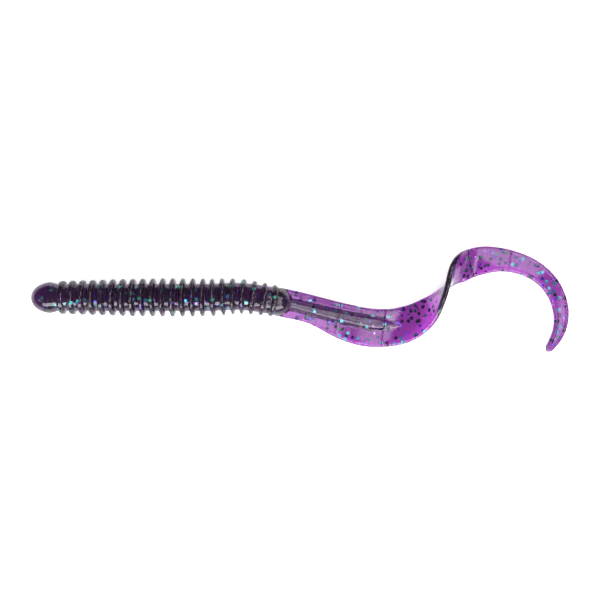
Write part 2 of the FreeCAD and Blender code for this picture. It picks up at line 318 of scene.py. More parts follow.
TAIL_STATIONS = (
    Station(0.0, 0.0, 3.4, 3.4, 0, 3.35),
    Station(3.6, -0.8, 3.5, 3.4, 0, 2.6),
    Station(8.9, -2.1, 3.5, 3.5, 0, 1.95),
    Station(12.9, -3.1, 3.45, 4.6, 0, 1.6),
    Station(17.0, -4.0, 3.4, 5.6, 0, 1.3),
    Station(22.4, -5.0, 3.4, 6.0, 0, 1.0),
    Station(26.3, -5.6, 3.9, 5.5, 0, 0.55),
    Station(29.9, -5.8, 4.5, 4.6, -2, 0.25),
    Station(34.4, -3.9, 4.1, 3.75, -16, 0.1),
    Station(37.9, -0.3, 3.5, 3.5, -61, 0.05),
    Station(41.2, 4.6, 3.7, 3.7, -106, 0.05),
    Station(44.0, 7.9, 3.9, 3.8, -145, 0.1),
    Station(47.2, 9.4, 3.5, 3.5, -174, 0.1),
    Station(50.0, 10.0, 3.4, 3.4, -186, 0.1),
    Station(54.0, 10.1, 3.0, 3.0, -188, 0.05),
    Station(58.8, 9.1, 2.65, 2.65, -187, 0.05),
    Station(62.6, 7.3, 2.45, 2.45, -186, 0.05),
    Station(65.8, 4.5, 2.3, 2.3, -185, 0.05),
    Station(67.8, 1.2, 2.15, 2.15, -184, 0.05),
    Station(68.75, -2.3, 2.0, 2.0, -183, 0.05),
    Station(68.6, -6.1, 1.7, 1.7, -182, 0.05),
    Station(67.3, -9.4, 1.35, 1.35, -181, 0.05),
    Station(65.4, -12.1, 0.9, 0.9, -180, 0.05),
)


@dataclass(frozen=True)
class Ribs:
    """Sizes of the ribbed body, in millimetres."""

    core: float = 3.3
    count: int = 22
    pitch: float = 2.38
    first: float = 7.55
    front: float = 4.0
    middle: float = 4.65
    rear: float = 3.85
    thickest: int = 13
    width_front: float = 1.6
    width_rear: float = 1.15
    nose: float = 3.75
    nose_round: float = 4.8
    nose_face: float = 0.8

    @property
    def last(self) -> float:
        """Distance of the last rib."""
        return self.first + self.pitch * (self.count - 1)


@dataclass(frozen=True)
class Web:
    """Sizes of the flat tail, its keel and the body's round end, in millimetres."""

    thick_root: float = 1.5
    thick_tip: float = 1.0
    tip_round: float = 1.3
    keel_length: float = 30.5
    keel_point: float = 7.5
    keel_half_width: tuple[float, float] = (1.4, 1.9)
    keel_height: tuple[float, float] = (1.5, 0.85)
    dome: float = 3.6
    fillet: float = 0.35


class Spine:
    """The line that the whole worm follows, in millimetres."""

    lead = 2.0
    tangent_step = 0.05
    bow = ((-9.0, 0.25), (-3.6, -0.35))
    root_offset = -0.95
    root_behind_last_rib = 0.95
    joint_ribs = (3, 6, 9, 12, 15, 18)
    tail_joints = (9.5, 20.5, 32.0, 40.5, 49.0, 58.0, 68.5, 79.5)

    def __init__(self, ribs: Ribs, web: Web, nose_tip: Sequence[float]) -> None:
        """Lays the spine.

        Args:
            ribs: sizes of the body.
            web: sizes of the tail.
            nose_tip: the nose tip's place in the frame, in metres.
        """
        self.ribs, self.web = ribs, web
        self.body_joints = [ribs.first + ribs.pitch * (number - 0.5) for number in self.joint_ribs]
        straight_to = self.body_joints[-2]
        root_x = ribs.last + self.root_behind_last_rib
        plan = [(straight_to - self.lead, 0.0), (straight_to, 0.0)]
        plan += [(root_x + x, y) for x, y in self.bow]
        axis_z = ribs.middle
        lead_points = len(plan)
        plan += [(root_x + s.x, self.root_offset + s.y) for s in TAIL_STATIONS]
        steps = np.hypot(*np.diff(np.array(plan), axis=0).T)
        knots = straight_to - self.lead + np.concatenate([[0.0], np.cumsum(steps)])
        self.straight_to = straight_to - self.lead
        self.root, self.end = knots[lead_points], knots[-1]
        tail = knots[lead_points:]
        heights = [axis_z] * lead_points
        heights += [self.resting_height(s, at) for s, at in zip(TAIL_STATIONS, tail)]
        self.plan_x = natural_cubic(knots, np.array([x for x, _ in plan]))
        self.plan_y = natural_cubic(knots, np.array([y for _, y in plan]))
        self.height = natural_cubic(knots, np.array(heights))
        self.near = natural_cubic(tail, np.array([s.near for s in TAIL_STATIONS]))
        self.far = natural_cubic(tail, np.array([s.far for s in TAIL_STATIONS]))
        self.roll = natural_cubic(tail, np.array([s.roll for s in TAIL_STATIONS], float))
        self.joints = self.body_joints + [self.root + behind for behind in self.tail_joints]
        self.shift = np.array(nose_tip) / MM - np.array([0.0, 0.0, axis_z])

    def thickness(self, at: Points | float) -> Points | float:
        """Ribbon thickness at a distance."""
        share = np.clip((at - self.root) / (self.end - self.root), 0, 1)
        return self.web.thick_root + (self.web.thick_tip - self.web.thick_root) * share

    def resting_height(self, station: Station, at: float) -> float:
        """Spine height that holds a station's lowest edge at its lift."""
        roll = math.radians(station.roll)
        low_side = station.far if math.sin(roll) > 0 else station.near
        flat = self.thickness(at) / 2 * abs(math.cos(roll))
        return station.lift + low_side * abs(math.sin(roll)) + flat

    def points(self, at: Points) -> Points:
        """Points of the spine in the frame, in millimetres."""
        at = np.atleast_1d(np.asarray(at, float))
        straight = at <= self.straight_to
        x = np.where(straight, at, self.plan_x(at))
        y = np.where(straight, 0.0, self.plan_y(at))
        z = np.where(straight, self.ribs.middle, self.height(at))
        return np.stack([x, y, z], axis=1) + self.shift

    def frames(self, at: Points) -> tuple[Points, Points, Points, Points]:
        """Frames along the spine.

        Args:
            at: distances.

        Returns:
            Points, tangents, directions across the ribbon and out of its face.
        """
        ahead = np.minimum(at + self.tangent_step, self.end)
        behind = np.maximum(at - self.tangent_step, 0.0)
        tangent = unit(self.points(ahead) - self.points(behind))
        level = unit(np.cross([0.0, 0.0, 1.0], tangent))
        upright = np.cross(tangent, level)
        roll = np.radians(self.roll(at))[:, None]
        width = level * np.cos(roll) + upright * np.sin(roll)
        return self.points(at), tangent, width, np.cross(tangent, width)


def unit(vectors: Points) -> Points:
    """Vectors with a length of one."""
    return vectors / np.linalg.norm(vectors, axis=-1, keepdims=True)


def held_share(share: float) -> float:
    """A share held between 0 and 1."""
    return min(max(share, 0.0), 1.0)


# ---- ribbed body ----
class RibbedBody:
    """Nose and ribbed body, turned about the spine by a rule."""

    sides = 64
    ring_step = 0.07
    rib_flatness = 2.2       # powers that shape a rib from crest to groove
    rib_roundness = 0.5
    side_corners = 4.5       # faces with more corners than this are ends of a stretch
    tip_reach = 0.1          # an end this near the nose tip is the nose's own flat face
    most_of_nose = 0.9999    # keeps the nose's radius above zero at the tip

    def __init__(self, spine: Spine) -> None:
        """Builds the geometry tree that makes the body.

        Args:
            spine: the line that the body follows.
        """
        self.spine = spine
        self.tree = self.make_tree()

    def make_tree(self) -> Tree:
        """The tree that turns a stretch of the spine into ribbed body.

        Returns:
            The tree, with the body's sizes as named inputs.
        """
        sizes = (
            "Starts At", "Inset", "Core Radius", "Rib Count", "Rib Pitch", "First Rib At",
            "Front Rib Radius", "Middle Rib Radius", "Rear Rib Radius", "Thickest Rib",
            "Front Rib Width", "Rear Rib Width", "Nose Radius", "Nose Length", "Nose Tip X", "Ring Step",
        )
        inputs = {"Geometry": "Geometry"} | {title: "Float" for title in sizes}
        inputs |= {"Sides": "Int", "Plastic": "Material"}
        maker = NodeGroupMaker("ribbed_body", "GeometryNodeTree", inputs, {"Geometry": "Geometry"})
        tree, value = maker.tree, maker.value
        spline = add_node(tree, "GeometryNodeSplineParameter")
        at = Field(tree, spline.outputs["Length"]) + value("Starts At")
        radius = self.radius_rule(maker, at)
        rings = add_node(tree, "GeometryNodeResampleCurve", {"mode": "LENGTH"},
                         Curve=value("Geometry"), Length=value("Ring Step"))
        circle = add_node(tree, "GeometryNodeCurvePrimitiveCircle", {"mode": "RADIUS"},
                          Resolution=value("Sides"), Radius=1.0)
        tube = add_node(tree, "GeometryNodeCurveToMesh", Curve=rings.outputs[0],
                        Profile_Curve=circle.outputs[0], Scale=radius, Fill_Caps=True)
        corners = add_node(tree, "GeometryNodeInputMeshFaceNeighbors")
        place = add_node(tree, "GeometryNodeInputPosition")
        apart = add_node(tree, "ShaderNodeSeparateXYZ", Vector=place.outputs[0])
        is_end = Field(tree, corners.outputs["Vertex Count"]).math("GREATER_THAN", self.side_corners)
        from_tip = Field(tree, apart.outputs["X"]) - value("Nose Tip X")
        behind_tip = from_tip.math("GREATER_THAN", self.tip_reach * MM)
        on_skin = (is_end * behind_tip).math("MULTIPLY_ADD", -1.0, 1.0)
        marked = add_node(tree, "GeometryNodeStoreNamedAttribute",
                          {"data_type": "FLOAT", "domain": "FACE"}, Geometry=tube.outputs[0],
                          Name=CAP_MASK, Value=on_skin)
        smooth = add_node(tree, "GeometryNodeSetShadeSmooth", Geometry=marked.outputs[0],
                          Shade_Smooth=on_skin)
        whole = add_node(tree, "GeometryNodeRealizeInstances", Geometry=smooth.outputs[0])
        dressed = add_node(tree, "GeometryNodeSetMaterial", Geometry=whole.outputs[0],
                           Material=value("Plastic"))
        maker.give(Geometry=dressed.outputs[0])
        return tree

    def radius_rule(self, maker: NodeGroupMaker, at: Field) -> Field:
        """Radius of the body at a distance from the nose tip.

        Args:
            maker: the group whose inputs hold the sizes.
            at: the distance.

        Returns:
            The radius.
        """
        value = maker.value
        number = ((at - value("First Rib At")) / value("Rib Pitch") + 1.0).math("ROUND")
        number = number.between(1.0, value("Rib Count"))
        centre = (number - 1.0) * value("Rib Pitch") + value("First Rib At")
        in_front = (value("Thickest Rib") + 0.5 - number).math("GREATER_THAN", 0.0)
        share_front = (number - 1.0) / (value("Thickest Rib") - 1.0)
        share_rear = (value("Rib Count") - number) / (value("Rib Count") - value("Thickest Rib"))
        share = share_rear + (share_front - share_rear) * in_front
        front_extra = value("Front Rib Radius") - value("Rear Rib Radius")
        end_radius = value("Rear Rib Radius") + front_extra * in_front
        rise = (share * (math.pi / 2)).math("SINE")
        crest = end_radius + (value("Middle Rib Radius") - end_radius) * rise
        widening = (value("Rear Rib Width") - value("Front Rib Width")) / (value("Rib Count") - 1.0)
        half_width = (value("Front Rib Width") + widening * (number - 1.0)) / 2.0 - value("Inset")
        off = ((at - centre).math("ABSOLUTE") / half_width).between(0.0, 1.0)
        swell = (off ** self.rib_flatness).math("MULTIPLY_ADD", -1.0, 1.0) ** self.rib_roundness
        core = value("Core Radius")
        ribbed = core + (crest - core) * swell
        groove = value("First Rib At") - value("Rib Pitch") / 2.0
        short_of = ((value("Nose Length") - at) / value("Nose Length")).between(0.0, self.most_of_nose)
        roundness = (short_of * short_of).math("MULTIPLY_ADD", -1.0, 1.0).math("SQRT")
        rounded = roundness * value("Nose Radius")
        easing = ((at - value("Nose Length")) / (groove - value("Nose Length"))).between(0.0, 1.0)
        nose = rounded - (value("Nose Radius") - core) * easing
        in_nose = (groove - at).math("GREATER_THAN", 0.0)
        return ribbed + (nose - ribbed) * in_nose - value("Inset")

    def mesh(
        self, start: float, end: float, inset: float, plastic: bpy.types.Material | None
    ) -> bpy.types.Mesh:
        """One stretch of the body.

        Args:
            start: where it starts.
            end: where it ends.
            inset: how far its surface lies under the body's.
            plastic: its material.

        Returns:
            The closed mesh.
        """
        count = max(2, round((end - start) / self.ring_step) + 1)
        line = self.spine.points(np.linspace(start, end, count)) * MM
        curve = bpy.data.curves.new("stretch", "CURVE")
        curve.dimensions = "3D"
        spline = curve.splines.new("POLY")
        spline.points.add(count - 1)
        spline.points.foreach_set("co", np.column_stack([line, np.ones(count)]).ravel())
        ribs = self.spine.ribs
        nose_length = ribs.nose_round * math.cos(math.asin(ribs.nose_face / ribs.nose))
        values = {
            "Starts At": start * MM, "Inset": inset * MM, "Core Radius": ribs.core * MM,
            "Rib Count": float(ribs.count), "Rib Pitch": ribs.pitch * MM,
            "First Rib At": ribs.first * MM, "Front Rib Radius": ribs.front * MM,
            "Middle Rib Radius": ribs.middle * MM,
            "Rear Rib Radius": ribs.rear * MM, "Thickest Rib": float(ribs.thickest),
            "Front Rib Width": ribs.width_front * MM, "Rear Rib Width": ribs.width_rear * MM,
            "Nose Radius": ribs.nose * MM, "Nose Length": nose_length * MM,
            "Nose Tip X": float(self.spine.points(0.0)[0, 0]) * MM, "Ring Step": self.ring_step * MM,
            "Sides": self.sides, "Plastic": plastic,
        }
        return run_modifier(bpy.data.objects.new("stretch", curve), self.tree, values)


# ---- ribbon tail ----
QUARTERS = np.array([0.0, 0.5, 1.0, 1.5]) * math.pi
TURN_DIGITS = 9


def smooth_most(first: Points, second: Points, fillet: float) -> Points:
    """The larger of two radii, with a fillet where they cross."""
    closeness = np.maximum(fillet - np.abs(first - second), 0.0) / fillet
    return np.maximum(first, second) + closeness ** 2 * fillet / 4


class RibbonTail:
    """Round end of the body, flat ribbon and keel, lofted along the spine."""

    points_in_quarter = 26
    ring_step = 0.22
    fine_ring_step = 0.09
    fine_behind_root = 4.0
    fine_before_end = 1.6
    turns_all_round = 720
    turns_on_face = 400
    corner_weight = 0.9      # how much closer points lie where the outline turns
    sharpest = 0.5           # turns beyond this, in radians, draw no more points
    narrow_at_root = 0.9     # share of the width that the ribbon starts with
    root_run = (-0.45, 0.6)  # where it starts to widen, and over what length
    tip_fullness = 1.15      # the tip thins later than it narrows
    least_closing = 0.02
    least_half_thick = 0.02
    least_width = 1.1        # half width over half thickness
    least_radius = 0.05      # a smaller keel or round end is left out
    keel_from = -0.3
    leans = ((2.0, 0.0), (6.0, -0.07), (16.0, -0.07), (24.0, 0.05), (31.0, 0.07), (38.0, 0.0),
             (54.0, 0.0), (60.0, 0.08), (95.0, 0.05))
    dishes = ((8.0, 0.0), (16.0, 0.004), (24.0, 0.016), (36.0, 0.0), (50.0, 0.0), (60.0, 0.02),
              (95.0, 0.02))
    bead = 0.12
    above_floor = 0.01

    def __init__(self, spine: Spine) -> None:
        """Keeps the spine."""
        self.spine = spine

    def outline(self, at: float, inset: float) -> Points:
        """Outline square to the spine.

        Args:
            at: distance along the spine.
            inset: how far it lies under the surface.

        Returns:
            Points as (across the ribbon, out of its face), the same number in each quarter.
        """
        spine, web, ribs = self.spine, self.spine.web, self.spine.ribs
        behind = at - spine.root
        into_tip = max(at - (spine.end - web.tip_round), 0.0) / web.tip_round
        closing = math.sqrt(max(1 - into_tip ** 2, self.least_closing))
        half_thick = spine.thickness(at) / 2 * min(1.0, closing * self.tip_fullness) - inset
        half_thick = max(half_thick, self.least_half_thick)
        widens_at, widens_over = self.root_run
        widened = held_share((behind - widens_at) / widens_over)
        fullness = closing * (self.narrow_at_root + (1 - self.narrow_at_root) * widened)
        near = max(float(spine.near(at)) * fullness - inset, self.least_width * half_thick)
        far = max(float(spine.far(at)) * fullness - inset, self.least_width * half_thick)
        even = np.linspace(0, 2 * math.pi, self.turns_all_round, endpoint=False)
        run = np.linspace(-far, near, self.turns_on_face)
        upper, lower = np.arctan2(half_thick, run), np.arctan2(-half_thick, run) % (2 * math.pi)
        turns = np.concatenate([even, upper, lower, QUARTERS])
        turns = np.unique(np.round(turns, TURN_DIGITS))
        across, up = np.cos(turns), np.sin(turns)
        reach = np.where(across > 0, near, far)
        with np.errstate(divide="ignore"):
            face = half_thick / np.maximum(np.abs(up), 1e-9)
        centre = reach - half_thick
        edge = centre * np.abs(across) + np.sqrt(np.maximum(half_thick ** 2 - (centre * up) ** 2, 0.0))
        radius = np.where(face * np.abs(across) <= centre, face, edge)
        radius = np.maximum(radius, self.edge_bead(reach, across, up, half_thick, inset))
        radius = self.with_keel(radius, across, up, behind, inset)
        dome = ribs.core * math.sqrt(max(1 - (max(behind, 0.0) / web.dome) ** 2, 0.0)) - inset
        if dome > self.least_radius:
            radius = smooth_most(radius, np.full_like(radius, dome), web.fillet)
        return self.even_out(turns, np.column_stack([radius * across, radius * up]))

    def edge_bead(
        self, reach: Points, across: Points, up: Points, half_thick: float, inset: float
    ) -> Points:
        """The thicker rounded rim along both edges of the ribbon.

        Args:
            reach: the ribbon's half width in each direction.
            across: share of each direction that lies across the ribbon.
            up: share that points out of its face.
            half_thick: half the ribbon's thickness.
            inset: how far the outline lies under the surface.

        Returns:
            The rim's radius in each direction, 0 where it has none.
        """
        size = half_thick + self.bead if inset == 0 else half_thick
        centre = np.maximum(reach - size, 0.0)
        under = size ** 2 - (centre * up) ** 2
        return np.where(under > 0, centre * np.abs(across) + np.sqrt(np.maximum(under, 0.0)), 0.0)

    def with_keel(
        self, radius: Points, across: Points, up: Points, behind: float, inset: float
    ) -> Points:
        """Adds the keel to an outline.

        Args:
            radius: the outline so far.
            across: share of each direction that lies across the ribbon.
            up: share that points out of its face.
            behind: distance from the tail root.
            inset: how far the outline lies under the surface.

        Returns:
            The radius in each direction.
        """
        web = self.spine.web
        point_from = web.keel_length - web.keel_point
        if behind < self.keel_from or behind > web.keel_length:
            return radius
        share = held_share(behind / point_from)
        closing = math.cos(math.pi / 2 * held_share((behind - point_from) / web.keel_point))
        half_width, height = (first + (last - first) * share
                              for first, last in (web.keel_half_width, web.keel_height))
        half_width = half_width * closing - inset
        height = height * closing + self.spine.thickness(self.spine.root + behind) / 2 - inset
        if half_width < self.least_radius:
            return radius
        keel = 1 / np.sqrt((across / half_width) ** 2 + (up / height) ** 2)
        return smooth_most(radius, keel, web.fillet)

    def even_out(self, turns: Points, outline: Points) -> Points:
        """Spreads an outline's points, closer together where it turns.

        Args:
            turns: direction of each point, rising.
            outline: the points.

        Returns:
            The same number of points in each quarter.
        """
        closed = np.vstack([outline, outline[:1]])
        steps = np.diff(closed, axis=0)
        lengths = np.hypot(*steps.T)
        headings = np.unwrap(np.arctan2(steps[:, 1], steps[:, 0]))
        bends = np.abs(np.diff(headings, prepend=headings[0]))
        weights = lengths + self.corner_weight * np.minimum(bends, self.sharpest)
        travelled = np.concatenate([[0.0], np.cumsum(weights)])
        first_in_quarter = np.searchsorted(turns, QUARTERS - 10.0 ** -TURN_DIGITS)
        marks = [*travelled[first_in_quarter], travelled[-1]]
        wanted = np.concatenate([np.linspace(low, high, self.points_in_quarter, endpoint=False)
                                 for low, high in zip(marks, marks[1:])])
        return np.column_stack([np.interp(wanted, travelled, closed[:, k]) for k in (0, 1)])

    def ring_distances(self, start: float, end: float) -> Points:
        """Distances of the rings from start to end, closer at the tail root and the tip."""
        root_until = self.spine.root + self.fine_behind_root
        tip_from = self.spine.end - self.fine_before_end
        marks = sorted([start, end, *(m for m in (root_until, tip_from) if start < m < end)])
        parts = []
        for low, high in zip(marks, marks[1:]):
            fine = high <= root_until or low >= tip_from
            count = max(2, round((high - low) / (self.fine_ring_step if fine else self.ring_step)))
            parts.append(np.linspace(low, high, count, endpoint=False))
        return np.concatenate([*parts, [end]])

    def mesh(
        self, start: float, end: float, inset: float, plastic: bpy.types.Material | None
    ) -> bpy.types.Mesh:
        """One stretch of the tail.

        Args:
            start: where it starts.
            end: where it ends.
            inset: how far its surface lies under the tail's.
            plastic: its material.

        Returns:
            The closed mesh.
        """
        at = self.ring_distances(start, end)
        middle, _, width, normal = self.spine.frames(at)
        rings = []
        for k, distance in enumerate(at):
            outline = self.outline(float(distance), inset)
            behind = distance - self.spine.root
            lean, dish = (np.interp(behind, *np.array(table).T) for table in (self.leans, self.dishes))
            sag = lean * outline[:, :1] + dish * outline[:, :1] ** 2
            rings.append(middle[k] + outline[:, :1] * width[k] + (outline[:, 1:] - sag) * normal[k])
        size = len(rings[0])
        index = np.arange(len(at) * size).reshape(len(at), size)
        here, there = index[:-1], index[1:]
        quads = np.stack([here, np.roll(here, -1, 1), np.roll(there, -1, 1), there], axis=-1)
        faces = [*quads.reshape(-1, 4).tolist(), index[0][::-1].tolist(), index[-1].tolist()]
        mesh = bpy.data.meshes.new("stretch")
        points = np.vstack(rings)
        points[:, 2] = np.maximum(points[:, 2], self.above_floor + inset)
        mesh.from_pydata((points * MM).tolist(), [], faces)
        mask = np.ones(len(faces), np.float32)
        mask[-2] = 0.0
        mask[-1] = 1.0 if end >= self.spine.end else 0.0
        mesh.attributes.new(CAP_MASK, "FLOAT", "FACE").data.foreach_set("value", mask)
        mesh.polygons.foreach_set("use_smooth", mask > 0.5)
        if plastic is not None:
            mesh.materials.append(plastic)
        return mesh


# ---- foil flakes ----
class FlakeCut(Enum):
    """The cuts of foil that are cast in: across the flats and thickness, in millimetres."""

    GREEN = (0.86, 0.05)
    BLUE = (0.46, 0.04)
    DUST = (0.2, 0.02)


class FlakeDraw(Enum):
    """What is drawn at random for each flake."""

    LEAN_ACROSS = 1
    LEAN_ALONG = 2
    TURN = 3
    SIZE = 4
    TONE = 5


@dataclass(frozen=True)
class Sprinkling:
    """How one cut of foil lies in the plastic."""

    cut: FlakeCut
    depth: float
    per_square_cm: float
    apart: float
    tilt: float
    smallest: float
    seed: int


class FoilFlakes:
    """Hexagonal foil flakes cast into the plastic."""

    draw_seed_step = 101
    stretch_seed_step = 17

    def __init__(self) -> None:
        """Builds the geometry tree that sprinkles flakes."""
        self.tree = self.make_tree()

    def make_tree(self) -> Tree:
        """The tree that lays flakes along a surface.

        Returns:
            The tree, with sizes, tilt and seed as named inputs.
        """
        sizes = ("Across Flats", "Thickness", "Density", "Apart", "Tilt", "Smallest")
        inputs = {"Geometry": "Geometry"} | {title: "Float" for title in sizes}
        inputs |= {"Seed": "Int", "Foil": "Material"}
        maker = NodeGroupMaker("sprinkled_foil", "GeometryNodeTree", inputs, {"Geometry": "Geometry"})
        tree, value = maker.tree, maker.value
        mask = add_node(tree, "GeometryNodeInputNamedAttribute", {"data_type": "FLOAT"}, Name=CAP_MASK)
        scatter = add_node(
            tree, "GeometryNodeDistributePointsOnFaces", {"distribute_method": "POISSON"},
            Mesh=value("Geometry"), Selection=mask.outputs["Attribute"], Distance_Min=value("Apart"),
            Density_Max=value("Density"), Seed=value("Seed"))
        plate = add_node(
            tree, "GeometryNodeMeshCylinder", {"fill_type": "NGON"}, Vertices=6, Side_Segments=1,
            Radius=value("Across Flats") * (1 / math.sqrt(3)), Depth=value("Thickness"))
        tilt = value("Tilt")
        lean = add_node(tree, "ShaderNodeCombineXYZ", X=self.random(maker, FlakeDraw.LEAN_ACROSS, tilt),
                        Y=self.random(maker, FlakeDraw.LEAN_ALONG, tilt),
                        Z=self.random(maker, FlakeDraw.TURN, math.pi))
        turn = add_node(tree, "FunctionNodeEulerToRotation", Euler=lean.outputs[0])
        lying = add_node(tree, "FunctionNodeRotateRotation", {"rotation_space": "LOCAL"},
                         Rotation=scatter.outputs["Rotation"], Rotate_By=turn.outputs[0])
        size_range = value("Smallest").math("MULTIPLY_ADD", -1.0, 1.0)
        size = self.random(maker, FlakeDraw.SIZE, 0.5) * size_range
        size = size + (value("Smallest") + 1.0) / 2.0
        laid = add_node(tree, "GeometryNodeInstanceOnPoints", Points=scatter.outputs[0],
                        Instance=plate.outputs["Mesh"], Rotation=lying.outputs[0])
        tree.links.new(size.socket, laid.inputs["Scale"])
        toned = add_node(tree, "GeometryNodeStoreNamedAttribute",
                         {"data_type": "FLOAT", "domain": "INSTANCE"}, Geometry=laid.outputs[0],
                         Name=FLAKE_TONE, Value=self.random(maker, FlakeDraw.TONE, 0.5) + 0.5)
        whole = add_node(tree, "GeometryNodeRealizeInstances", Geometry=toned.outputs[0])
        dressed = add_node(tree, "GeometryNodeSetMaterial", Geometry=whole.outputs[0],
                           Material=value("Foil"))
        maker.give(Geometry=dressed.outputs[0])
        return tree

    def random(self, maker: NodeGroupMaker, draw: FlakeDraw, most: Field | float) -> Field:
        """A random number between -most and most, different for each flake and draw."""
        tree = maker.tree
        node = add_node(tree, "FunctionNodeRandomValue", {"data_type": "FLOAT"})
        node.inputs[2].default_value = -1.0
        node.inputs[3].default_value = 1.0
        feed(tree, node.inputs["Seed"], maker.value("Seed") + float(draw.value * self.draw_seed_step))
        return Field(tree, node.outputs[1]) * most

    def mesh(
        self, bed: bpy.types.Mesh, lay: Sprinkling, foil: bpy.types.Material, number: int
    ) -> bpy.types.Mesh:
        """Flakes along one surface.

        Args:
            bed: the surface that they lie along.
            lay: how they lie.
            foil: their material.
            number: number of the stretch, which changes the seed.

        Returns:
            All the flakes as one mesh.
        """
        across, thick = lay.cut.value
        values = {
            "Across Flats": across * MM, "Thickness": thick * MM, "Density": lay.per_square_cm / CM ** 2,
            "Apart": lay.apart * MM, "Tilt": math.radians(lay.tilt), "Smallest": lay.smallest,
            "Seed": lay.seed + self.stretch_seed_step * number, "Foil": foil,
        }
        return run_modifier(bpy.data.objects.new("bed", bed), self.tree, values)


# ---- finishes ----
@dataclass(frozen=True)
class SoftPlastic:
    """Clear glossy soft plastic with a dye in it."""

    name: str
    strength: float
    dye: tuple[float, float, float] = (0.58, 0.04, 0.64)
    bending: float = 1.47
    clear_share: float = 0.985
    flow: tuple[float, float] = (260.0, 3.0)             # scale and detail of the flow marks
    flow_tints: tuple[tuple[float, ...], ...] = ((0.72, 0.32, 0.78, 1.0), (0.82, 0.46, 0.87, 1.0))
    flow_roughness: tuple[float, float] = (0.05, 0.025)  # spread and least
    ripples: tuple[float, float] = (420.0, 0.00003)      # scale and height
    pits: tuple[float, float] = (3600.0, 0.00001)

    def material(self) -> bpy.types.Material:
        """Builds the material.

        Returns:
            The material, clear where the outer skin mask is 0.
        """
        made, tree, shader = new_material(self.name)
        shader.inputs["IOR"].default_value = self.bending
        shader.inputs["Transmission Weight"].default_value = self.clear_share
        depth = add_node(tree, "ShaderNodeVolumeAbsorption", Color=(*self.dye, 1.0),
                         Density=self.strength)
        tree.links.new(depth.outputs[0], tree.nodes["Material Output"].inputs["Volume"])
        mask = add_node(tree, "ShaderNodeAttribute", {"attribute_name": CAP_MASK})
        tree.links.new(mask.outputs["Fac"], shader.inputs["Alpha"])
        flow = noise(tree, *self.flow)
        feed(tree, shader.inputs["Base Color"], mixed(tree, flow, *self.flow_tints))
        feed(tree, shader.inputs["Roughness"], flow.math("MULTIPLY_ADD", *self.flow_roughness))
        slow, fine = (add_node(tree, "ShaderNodeBump", Strength=1.0, Distance=height,
                               Height=noise(tree, scale, 1.0))
                      for scale, height in (self.ripples, self.pits))
        tree.links.new(slow.outputs[0], fine.inputs["Normal"])
        tree.links.new(fine.outputs[0], shader.inputs["Normal"])
        return made


def new_material(name: str) -> tuple[bpy.types.Material, Tree, bpy.types.Node]:
    """Starts a material.

    Args:
        name: its name.

    Returns:
        The material, its tree and its Principled node.
    """
    made = bpy.data.materials.new(name)
    made.use_nodes = True
    return made, made.node_tree, made.node_tree.nodes["Principled BSDF"]


FOIL_TONES = ("First Colour", "Second Colour", "Third Colour")


class FoilSurface:
    """Shader group for pressed foil: grain, and a tone that differs from flake to flake."""

    cells = (700.0, 1.0)     # scale and detail
    grain = (9000.0, 2.0)
    cell_share, flake_share, least_tone = 3.0, 0.6, 0.3
    least_roughness = 0.12
    bump_strength, bump_height = 0.4, 0.00001

    def __init__(self) -> None:
        """Builds the group."""
        inputs = {title: "Color" for title in FOIL_TONES} | {"Tone": "Float", "Grain": "Float"}
        outputs = {"Colour": "Color", "Roughness": "Float", "Normal": "Vector"}
        maker = NodeGroupMaker("foil_surface", "ShaderNodeTree", inputs, outputs)
        self.tree = tree = maker.tree
        cells, grain = noise(tree, *self.cells), noise(tree, *self.grain)
        tone = (cells - 0.5) * self.cell_share + maker.value("Tone") * self.flake_share + self.least_tone
        first, second, third = (maker.value(title) for title in FOIL_TONES)
        lower = mixed(tree, (tone * 2.0).between(0.0, 1.0), first, second)
        colour = mixed(tree, (tone * 2.0 - 1.0).between(0.0, 1.0), lower, third)
        rough = grain.math("MULTIPLY_ADD", maker.value("Grain"), self.least_roughness)
        bump = add_node(tree, "ShaderNodeBump", Strength=self.bump_strength, Distance=self.bump_height,
                        Height=grain)
        maker.give(Colour=colour, Roughness=rough, Normal=bump.outputs[0])


@dataclass(frozen=True)
class Foil:
    """Metallised film in three neighbouring tones."""

    name: str
    tones: tuple[tuple[float, float, float], ...]
    grain: float = 0.25
    metallic: float = 0.8

    def material(self, surface: FoilSurface) -> bpy.types.Material:
        """Builds the material.

        Args:
            surface: the shared foil group.

        Returns:
            The material.
        """
        made, tree, shader = new_material(self.name)
        shader.inputs["Metallic"].default_value = self.metallic
        group = add_node(tree, "ShaderNodeGroup", {"node_tree": surface.tree}, Grain=self.grain)
        for title, tone in zip(FOIL_TONES, self.tones):
            group.inputs[title].default_value = (*tone, 1.0)
        tone = add_node(tree, "ShaderNodeAttribute", {"attribute_name": FLAKE_TONE})
        tree.links.new(tone.outputs["Fac"], group.inputs["Tone"])
        for result, place in zip(group.outputs, ("Base Color", "Roughness", "Normal")):
            tree.links.new(result, shader.inputs[place])
        return made


GREEN_FOIL = Foil("green_foil", ((0.02, 0.55, 0.32), (0.04, 0.80, 0.26), (0.06, 0.75, 0.52)))
BLUE_FOIL = Foil("blue_foil", ((0.03, 0.05, 0.85), (0.10, 0.45, 0.95), (0.75, 0.72, 1.0)))


# ---- the whole moulding ----
@dataclass(frozen=True)
class Stretch:
    """The part of the moulding that bends at one joint."""

    number: int
    front: str
    rear: str
    start: float
    joint: float
    end: float

    @property
    def name(self) -> str:
        """Short name from its two bodies."""
        return f"{self.front}_{self.rear}"


